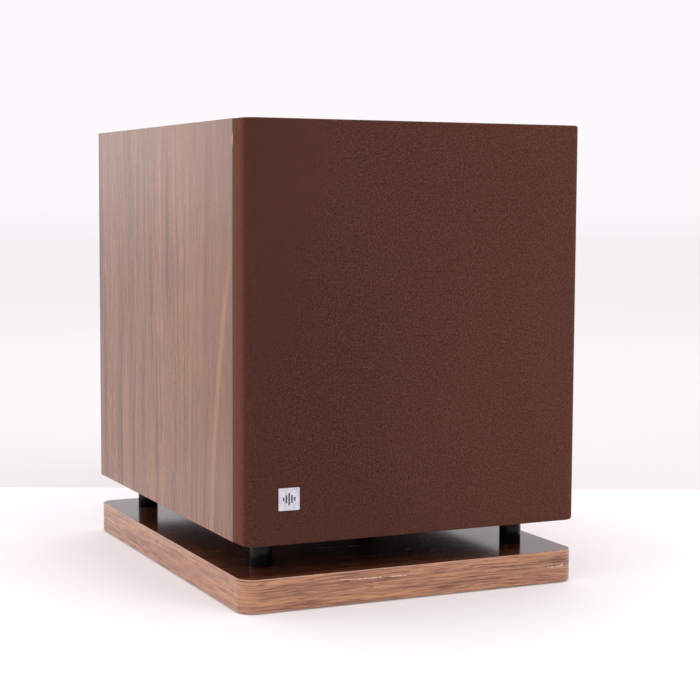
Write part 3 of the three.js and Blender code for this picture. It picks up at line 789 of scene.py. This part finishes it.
def cut_bolt_recesses(board, finish):
    """Counterbores in the underside for the post bolts' heads."""
    for place in CORNERS:
        low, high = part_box(f"post_bolt_{place}")
        centre = (low + high) / 2
        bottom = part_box("plinth")[0].z
        tool = make_turned("recess_tool", [(0, -2 * MM), (9 * MM, -2 * MM), (9 * MM, 7 * MM),
                                           (3.5 * MM, 7 * MM), (3.5 * MM, 60 * MM), (0, 60 * MM)],
                           (centre.x, centre.y, bottom), [finish["raw_board"]], sides=48)
        cut = board.modifiers.new("recess", "BOOLEAN")
        cut.operation, cut.object, cut.solver = "DIFFERENCE", tool, "EXACT"
        apply_modifiers(board)
        bpy.data.objects.remove(tool)


def apply_modifiers(made):
    evaluated = made.evaluated_get(bpy.context.evaluated_depsgraph_get())
    mesh = bpy.data.meshes.new_from_object(evaluated)
    made.modifiers.clear()
    made.data = mesh


def make_posts(finish):
    """Short glossy posts with a narrow eased rim at each end, and felt pads under the plinth."""
    for place in CORNERS:
        low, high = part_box(f"post_{place}")
        centre = ((low.x + high.x) / 2, (low.y + high.y) / 2, low.z)
        radius, tall, ease, bore = (high.x - low.x) / 2, high.z - low.z, 0.8 * MM, 3.4 * MM
        rim = arc((radius - ease, tall - ease), ease, 0, 90, 4)
        foot = arc((radius - ease, ease), ease, -90, 0, 4)
        post = make_turned(f"post_{place}_turned", [(bore, 0), *foot, *rim, (bore, tall)], centre,
                           [finish["gloss_black"]], sides=96)
        finish_piece(post, "cabinet", "gloss_black", f"post_{place}")

        low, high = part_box(f"foot_pad_{place}")
        centre = ((low.x + high.x) / 2, (low.y + high.y) / 2, low.z)
        radius, tall = (high.x - low.x) / 2, high.z - low.z
        pad = make_turned(f"foot_pad_{place}_felt", [(0, 0), (radius, 0), (radius, tall * 0.7),
                                                     (radius - 0.3 * MM, tall), (0, tall)],
                          centre, [finish["felt"]], sides=64)
        finish_piece(pad, "cabinet", "felt", f"foot_pad_{place}")


# ---------------------------------------------------------------- grille

def make_grille(finish):
    """The cloth, stretched over the frame's round front edges and back over its sides, top and bottom."""
    half_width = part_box("top_panel")[1].x
    front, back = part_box("grille_cloth")[0].y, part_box("grille_frame")[1].y
    low, high = CABINET_BOTTOM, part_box("top_panel")[1].z
    corner, fold, steps = 15 * MM, 2.2 * MM, 6
    columns, levels, thickness = 24, 24, 0.45 * MM
    bend = [(fold * (1 - math.sin(t)), fold * (1 - math.cos(t)))
            for t in (math.pi / 2 * i / steps for i in range(steps + 1))]
    upper = [(inset, high - drop) for inset, drop in bend]
    rows = [(i, low + high - z) for i, z in upper]
    rows += [(0, low + (high - low) * k / levels) for k in range(1, levels)]
    rows += [(i, z) for i, z in reversed(upper)]

    def outline(inset):
        x, y, r = half_width - inset, front + inset, corner - inset
        sides = [(-x, back + (y + r - back) * k / 3) for k in range(3)]
        across = [(-x + r + (2 * x - 2 * r) * k / columns, y) for k in range(1, columns)]
        return (sides + arc((-x + r, y + r), r, 180, 270, 12) + across
                + arc((x - r, y + r), r, 270, 360, 12) + [(-a, b) for a, b in reversed(sides)])

    base = outline(0)
    lengths = [0.0]
    for a, b in zip(base, base[1:]):
        lengths.append(lengths[-1] + math.dist(a, b))
    heights = [0.0]
    for (inset, z), (next_inset, next_z) in zip(rows, rows[1:]):
        heights.append(heights[-1] + math.dist((inset, z), (next_inset, next_z)))
    points = [(x, y, z) for inset, z in rows for x, y in outline(inset)]
    count = len(base)
    faces = [(k * count + i, k * count + i + 1, (k + 1) * count + i + 1, (k + 1) * count + i)
             for k in range(len(rows) - 1) for i in range(count - 1)]
    last = (len(rows) - 1) * count
    faces += [tuple(range(count))[::-1], tuple(range(last, last + count))]
    mesh = bpy.data.meshes.new("grille_cloth_stretched")
    mesh.from_pydata(points, [], faces)
    mesh.materials.append(finish["grille_cloth"])
    layer = mesh.uv_layers.new(name="grain")
    for face in mesh.polygons:
        face.use_smooth = len(face.vertices) == 4
        for loop in face.loop_indices:
            row, column = divmod(mesh.loops[loop].vertex_index, count)
            point = mesh.vertices[mesh.loops[loop].vertex_index].co
            layer.data[loop].uv = (lengths[column], heights[row]) if face.use_smooth else (point.x, point.y)
    cloth = bpy.data.objects.new("grille_cloth_stretched", mesh)
    bpy.context.collection.objects.link(cloth)
    skin = cloth.modifiers.new("thickness", "SOLIDIFY")
    skin.thickness, skin.offset = thickness, -1
    apply_modifiers(cloth)
    finish_piece(cloth, "grille", "grille_cloth", "grille_cloth")


def make_badge(finish):
    """A small silver plate with a raised rim and five plain bars, like the bars of a level meter."""
    low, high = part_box("badge_plate")
    middle = (low + high) / 2
    half, thick = (high.x - low.x) / 2, high.y - low.y
    back, face, rim = high.y, high.y - thick * 0.75, 0.9 * MM

    def to_world(a, b, c):
        return middle.x + a, c, middle.z + b

    def rounded(size, radius):
        return rounded_outline((-size, -size), (size, size), radius, 5)

    plate = make_prism("badge_face", rounded(half, 0.8 * MM), face, back, [finish["silver_plate"]], to_world)
    bevel_edges(plate, 0.12 * MM, 2)
    finish_piece(plate, "grille", "silver_plate", "badge_plate")

    outer, inner = rounded(half, 0.8 * MM), rounded(half - rim, 0.4 * MM)
    count = len(outer)
    points = [to_world(a, b, c) for ring, c in ((outer, face), (outer, low.y), (inner, low.y), (inner, face))
              for a, b in ring]
    faces = [(r * count + i, r * count + (i + 1) % count, ((r + 1) % 4) * count + (i + 1) % count,
              ((r + 1) % 4) * count + i) for r in range(4) for i in range(count)]
    border = make_mesh("badge_rim", points, faces, [finish["silver_plate"]])
    bevel_edges(border, 0.1 * MM, 1, 50)
    finish_piece(border, "grille", "silver_plate")

    bars = ((-6.4, 4.0), (-3.2, 8.5), (0.0, 13.0), (3.2, 8.5), (6.4, 4.0))   # place and height, in mm
    thin = 0.85
    for n, (x, tall) in enumerate(bars, 1):
        bar = make_block(f"badge_bar_{n}",
                         (middle.x + (x - thin) * MM, face - 0.25 * MM, middle.z - tall / 2 * MM),
                         (middle.x + (x + thin) * MM, face + 0.1 * MM, middle.z + tall / 2 * MM),
                         [finish["badge_ink"]], 0.12 * MM)
        finish_piece(bar, "grille", "silver_plate")


# ---------------------------------------------------------------- woofer

def make_woofer(finish):
    """The woofer's gasket, surround, spider, cone and dust cap, from profiles in millimetres."""
    low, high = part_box("woofer_gasket")
    centre = Vector(((low.x + high.x) / 2, (low.y + high.y) / 2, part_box("bottom_panel")[0].z))

    def turned(name, body, slot, node, profile, sides=128):
        scaled = [(r * MM, z * MM) for r, z in profile]
        made = make_turned(name, scaled, centre, [finish[slot]], sides)
        return finish_piece(made, body, slot, node)

    turned("woofer_gasket_ring", "cabinet", "rubber", "woofer_gasket", [
        (139.4, -7.2), (139.9, -7.6), *[(r, z) for r, z in arc((151, -6.6), 1.0, 270, 360, 4)],
        (152, -2.3), (143.6, -2.3), (143.6, -3.6), (139, -3.6)])

    make_surround(centre, finish)
    make_spider(centre, finish)

    rings = [(118, -0.5), (118, 0.7), (113, 0.7)]
    rings += [(113 - 86 * t, 0.7 + 44.5 * (t + 0.06 * math.sin(math.pi * t))) for t in
              (i / 14 for i in range(1, 15))]
    rings += [(26.6, 43.9)]
    rings += [(112.6 - 86 * t, -0.5 + 44.5 * (t + 0.06 * math.sin(math.pi * t))) for t in
              (i / 14 for i in range(13, -1, -1))]
    turned("woofer_cone_pulp", "cone", "cone_paper", "woofer_cone", rings)

    dome = [(33 * s, 27 + 12 * s * s) for s in (i / 12 for i in range(13))]
    under = [(r, z + 0.9) for r, z in reversed(dome)]
    turned("woofer_dust_cap_dome", "cone", "cone_paper", "woofer_dust_cap", dome + under, 96)


def make_surround(centre, finish):
    """The half-roll edge, which bends between the cone's lip and the frame."""
    def roll(radius, start, end):
        return arc((128, -1.7), radius, start, end, 20)

    outer_lip, inner_lip = 143.3, 113
    profile = [(inner_lip, -1.7), (inner_lip, -0.8), *roll(9.2, 180, 360), (137.6, -2.3),
               (outer_lip, -2.3), (outer_lip, -3.3), (138, -3.3), *roll(10, 350, 180)]
    make_bending_ring("woofer_surround_roll", "woofer_surround", "rubber", profile, (118, -1.7), (138, -2.8),
                      centre, finish)


def make_spider(centre, finish):
    """The corrugated cloth disc that bends between the coil's former and the frame's shelf."""
    inner, outer, wave_start, wave_end, waves, thickness = 26.6, 79, 28, 69, 4, 0.7
    low, height, ledge = 50.4, 1.4, 50.9
    steps = waves * 10
    under = [(inner, low)]
    for i in range(steps + 1):
        turn = 2 * math.pi * waves * i / steps
        radius = wave_start + (wave_end - wave_start) * i / steps
        under.append((radius, low + height / 2 * (1 - math.cos(turn))))
    under += [(71, ledge), (outer, ledge)]
    profile = under + [(r, z + thickness) for r, z in reversed(under)]
    make_bending_ring("woofer_spider_cloth", "woofer_spider", "spider_cloth", profile, (30, low), (70, low),
                      centre, finish)


def make_bending_ring(name, node, slot, profile, inside, outside, centre, finish, sectors=16, steps=8):
    """A turned ring in sectors; the points at inside and outside are worked out for each sector but not
    used.
    """
    count = len(profile)
    for sector in range(sectors):
        turns = [2 * math.pi * (sector + i / steps) / sectors for i in range(steps + 1)]
        points = [centre + Vector((r * math.cos(t), r * math.sin(t), z)) * MM for t in turns
                  for r, z in profile]
        faces = [(i * count + k, i * count + (k + 1) % count, (i + 1) * count + (k + 1) % count,
                  (i + 1) * count + k) for i in range(steps) for k in range(count)]
        faces += [tuple(range(count)), tuple(range(steps * count, (steps + 1) * count))]
        made = make_mesh(f"{name}_{sector + 1}", points, faces, [finish[slot]])
        shade_by_angle(made)
        middle = Vector((math.cos(turns[steps // 2]), math.sin(turns[steps // 2]), 0))
        start, end = (centre + (middle * r + Vector((0, 0, z))) * MM for r, z in (inside, outside))
        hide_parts(node)
        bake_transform(made)
        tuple(start)
        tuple(end)


# ---------------------------------------------------------------- the back

def make_back_details(finish):
    """Screws that hold the terminal plate and the back panel."""
    low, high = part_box("terminal_plate")
    aside, inset = 45.5 * MM, 5 * MM
    spots = [(side * aside, z) for side in (-1, 1) for z in (low.z + inset, high.z - inset)]
    for n, (x, z) in enumerate(spots, 1):
        make_screw_head(f"terminal_screw_{n}", (x, high.y, z), 3.2 * MM, finish)
    low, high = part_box("back_panel")
    inset = 12 * MM
    columns = (low.x + inset, (low.x + high.x) / 2, high.x - inset)
    rows = (low.z + inset, (low.z + high.z) / 2, high.z - inset)
    places = [(x, z) for x in columns for z in rows if (x, z) != (columns[1], rows[1])]
    for n, (x, z) in enumerate(places, 1):
        make_screw_head(f"back_screw_{n}", (x, high.y, z), 4.2 * MM, finish)


def make_screw_head(name, place, radius, finish):
    """A cross-head screw whose domed head faces the back."""
    rise = radius * 0.42
    dome = [(radius * math.cos(t), rise * math.sin(t)) for t in (math.pi / 2 * i / 8 for i in range(9))]
    head = make_turned(name, [(0, -0.4 * MM), (radius, -0.4 * MM), *dome[:-1], (0, rise)], (0, 0, 0),
                       [finish["zinc_steel"]], sides=40)
    slot, depth = radius * 0.16, rise * 0.5
    for axis in (0, 1):
        size = [slot, slot]
        size[axis] = radius * 0.6
        tool = make_block("slot_tool", (-size[0], -size[1], depth), (size[0], size[1], 2 * radius),
                          [finish["zinc_steel"]])
        cut = head.modifiers.new("slot", "BOOLEAN")
        cut.operation, cut.object, cut.solver = "DIFFERENCE", tool, "EXACT"
        apply_modifiers(head)
        bpy.data.objects.remove(tool)
    turn = Matrix.Rotation(-math.pi / 2, 4, "X") @ Matrix.Rotation(random.uniform(0, math.pi), 4, "Z")
    head.data.transform(Matrix.Translation(place) @ turn)
    shade_by_angle(head)
    finish_piece(head, "cabinet", "zinc_steel")


# ---------------------------------------------------------------- CAD nodes that keep their shape

def dress_cad_nodes(finish):
    """The procedural finish of its slot for each CAD node that still shows; some get eased edges."""
    slots = {part["node"]: part["material_slot"] for part in frame["record"]["subparts"]}
    eased = {"terminal_plate": 0.5 * MM, "grille_frame": 0.4 * MM}
    eased_kinds, kind_ease = ("terminal_lever", "post_bolt", "woofer_screw"), 0.5 * MM
    for name, node in frame["nodes"].items():
        if node.hide_render:
            continue
        slot = slots[name]
        material = finish["walnut_side"] if slot == "walnut_vinyl" else finish[slot]
        if name == "bottom_panel":
            material = finish["shaded_board"]
        node.data.materials.clear()
        node.data.materials.append(material)
        width = kind_ease if name.startswith(eased_kinds) else eased.get(name)
        if width:
            ease = node.modifiers.new("eased_edges", "BEVEL")
            ease.width, ease.segments, ease.limit_method = width, 2, "ANGLE"
            ease.angle_limit = math.radians(35)


finishes = make_materials()
make_camera()
make_studio()
make_cabinet(finishes)
make_plinth(finishes)
make_posts(finishes)
make_grille(finishes)
make_badge(finishes)
make_woofer(finishes)
make_back_details(finishes)
dress_cad_nodes(finishes)
